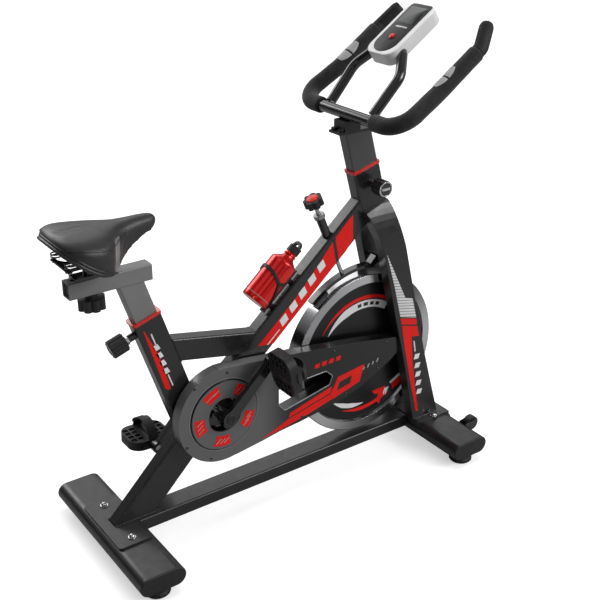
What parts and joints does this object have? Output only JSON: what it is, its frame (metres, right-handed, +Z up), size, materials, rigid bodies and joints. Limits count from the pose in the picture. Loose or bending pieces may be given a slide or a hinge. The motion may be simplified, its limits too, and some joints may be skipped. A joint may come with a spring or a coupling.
{
  "type": "indoor spin bike",
  "caption": "Indoor spin bike with a belt-driven flywheel, sliding seat and handlebar posts, knob brake, padded saddle, foam bars, console, bottle and levelling feet.",
  "frame": {"origin": "on the floor under the middle of the bounding box", "axes": "+X forward from the saddle to the handlebar, +Y to the rider's left, +Z up"},
  "size_m": [1.1334, 0.456, 1.1952],
  "materials": {
    "frame_paint": "gloss",
    "fork_paint": "gloss",
    "post_paint": "satin",
    "bar_post_paint": "satin",
    "black_plastic": "matte",
    "red_plastic": "gloss",
    "bright_steel": "satin",
    "chrome_rim": "polished",
    "cover_plastic": "gloss",
    "belt_rubber": "matte",
    "saddle_vinyl": "satin",
    "grip_foam": "matte",
    "foot_rubber": "matte",
    "console_white": "gloss",
    "bottle_red": "gloss",
    "crank_black": "gloss"
  },
  "bodies": {
    "frame": {"rear_stabiliser": "frame_paint", "front_stabiliser": "frame_paint", "stabiliser_caps": "black_plastic", "rear_mount_plate": "frame_paint", "front_mount_plate": "frame_paint", "mount_bolts": "bright_steel", "base_tube": "frame_paint", "rear_strut": "frame_paint", "seat_tube": "frame_paint", "top_tube": "frame_paint", "main_tube": "frame_paint", "head_tube": "frame_paint", "fork_right": "fork_paint", "fork_left": "fork_paint", "tube_collars": "red_plastic", "bottom_bracket": "frame_paint", "crank_bearings": "bright_steel", "flywheel_axle": "bright_steel", "axle_nuts": "bright_steel", "brake_sleeve": "bright_steel", "cover_outer": "cover_plastic", "cover_inner": "black_plastic", "bottle_cage": "black_plastic", "drive_belt": "belt_rubber"},
    "flywheel_body": {"flywheel": "chrome_rim", "flywheel_bearings": "bright_steel", "flywheel_pulley": "bright_steel"},
    "crankset": {"crank_spindle": "bright_steel", "drive_pulley": "crank_black", "crank_arms": "crank_black", "pedal_axles": "bright_steel"},
    "right_pedal": {"pedal_right": "black_plastic", "pedal_right_strap": "black_plastic"},
    "left_pedal": {"pedal_left": "black_plastic", "pedal_left_strap": "black_plastic"},
    "seat_post_body": {"seat_post": "post_paint"},
    "saddle_body": {"seat_carriage": "crank_black", "saddle_base": "crank_black", "saddle_springs": "bright_steel", "saddle_cushion": "saddle_vinyl"},
    "slide_knob_body": {"slide_knob": "black_plastic"},
    "seat_pin_body": {"seat_pin": "black_plastic"},
    "bar_post_body": {"bar_post": "bar_post_paint", "handlebar": "bar_post_paint", "bar_foam": "grip_foam", "console_housing": "console_white"},
    "console_button_body": {"console_button": "red_plastic"},
    "bar_pin_body": {"bar_pin": "black_plastic"},
    "brake_plunger": {"brake_rod": "bright_steel"},
    "brake_knob_body": {"brake_knob": "black_plastic"},
    "brake_lever_body": {"brake_lever": "crank_black"},
    "right_wheel": {"wheel_right": "black_plastic"},
    "left_wheel": {"wheel_left": "black_plastic"},
    "rear_right_foot": {"foot_rear_right": "foot_rubber"},
    "rear_left_foot": {"foot_rear_left": "foot_rubber"},
    "front_right_foot": {"foot_front_right": "foot_rubber"},
    "front_left_foot": {"foot_front_left": "foot_rubber"},
    "bottle_body": {"bottle": "bottle_red"},
    "bottle_cap_body": {"bottle_cap": "black_plastic"}
  },
  "joints": [
    {"name": "flywheel_spin", "type": "hinge", "parent": "frame", "child": "flywheel_body", "pos_m": [0.25825, 0, 0.318], "axis": [0, 1, 0], "continuous": true},
    {"name": "crank_spin", "type": "hinge", "parent": "frame", "child": "crankset", "pos_m": [-0.19675, 0, 0.3055], "axis": [0, 1, 0], "continuous": true},
    {"name": "right_pedal_spin", "type": "hinge", "parent": "crankset", "child": "right_pedal", "pos_m": [-0.0767, -0.138, 0.41942], "axis": [0, 1, 0], "continuous": true},
    {"name": "left_pedal_spin", "type": "hinge", "parent": "crankset", "child": "left_pedal", "pos_m": [-0.3168, 0.138, 0.19158], "axis": [0, 1, 0], "continuous": true},
    {"name": "seat_height", "type": "slide", "parent": "frame", "child": "seat_post_body", "axis": [-0.3051, 0, 0.9523], "range_m": [-0.045, 0.11]},
    {"name": "seat_fore_aft", "type": "slide", "parent": "seat_post_body", "child": "saddle_body", "axis": [1, 0, 0], "range_m": [-0.036, 0.026]},
    {"name": "slide_knob_turn", "type": "hinge", "parent": "saddle_body", "child": "slide_knob_body", "pos_m": [-0.48275, 0, 0.655], "axis": [0, 0, 1], "continuous": true},
    {"name": "seat_pin_pull", "type": "slide", "parent": "frame", "child": "seat_pin_body", "axis": [-0.9523, 0, -0.3051], "range_m": [0, 0.012]},
    {"name": "bar_height", "type": "slide", "parent": "frame", "child": "bar_post_body", "axis": [-0.2571, 0, 0.9664], "range_m": [-0.045, 0.09]},
    {"name": "console_button_press", "type": "slide", "parent": "bar_post_body", "child": "console_button_body", "axis": [0.5612, 0, -0.8277], "range_m": [0, 0.0015]},
    {"name": "bar_pin_pull", "type": "slide", "parent": "frame", "child": "bar_pin_body", "axis": [0, -1, 0], "range_m": [0, 0.012]},
    {"name": "brake_push", "type": "slide", "parent": "frame", "child": "brake_plunger", "axis": [0.3899, 0, -0.9208], "range_m": [0, 0.004]},
    {"name": "brake_knob_turn", "type": "hinge", "parent": "brake_plunger", "child": "brake_knob_body", "pos_m": [0.10375, 0, 0.766], "axis": [-0.3899, 0, 0.9208], "continuous": true},
    {"name": "brake_lever_swing", "type": "hinge", "parent": "frame", "child": "brake_lever_body", "pos_m": [0.30225, 0, 0.575], "axis": [0, -1, 0], "range_deg": [0, 2.2]},
    {"name": "right_wheel_roll", "type": "hinge", "parent": "frame", "child": "right_wheel", "pos_m": [0.54625, -0.14, 0.062], "axis": [0, 1, 0], "continuous": true},
    {"name": "left_wheel_roll", "type": "hinge", "parent": "frame", "child": "left_wheel", "pos_m": [0.54625, 0.14, 0.062], "axis": [0, 1, 0], "continuous": true},
    {"name": "rear_right_foot_turn", "type": "hinge", "parent": "frame", "child": "rear_right_foot", "pos_m": [-0.46975, -0.19, 0.01], "axis": [0, 0, 1], "continuous": true},
    {"name": "rear_left_foot_turn", "type": "hinge", "parent": "frame", "child": "rear_left_foot", "pos_m": [-0.46975, 0.19, 0.01], "axis": [0, 0, 1], "continuous": true},
    {"name": "front_right_foot_turn", "type": "hinge", "parent": "frame", "child": "front_right_foot", "pos_m": [0.46625, -0.19, 0.01], "axis": [0, 0, 1], "continuous": true},
    {"name": "front_left_foot_turn", "type": "hinge", "parent": "frame", "child": "front_left_foot", "pos_m": [0.46625, 0.19, 0.01], "axis": [0, 0, 1], "continuous": true},
    {"name": "bottle_lift", "type": "slide", "parent": "frame", "child": "bottle_body", "axis": [0.7521, 0, 0.6591], "range_m": [0, 0.045]},
    {"name": "bottle_cap_turn", "type": "hinge", "parent": "bottle_body", "child": "bottle_cap_body", "pos_m": [0.04429, 0, 0.65246], "axis": [0.7521, 0, 0.6591], "continuous": true}
  ],
  "couplings": [
    {"joint": "crank_spin", "follows": "flywheel_spin", "ratio": 0.3},
    {"joint": "brake_lever_swing", "follows": "brake_push", "rad_per_m": 9.2336}
  ]
}
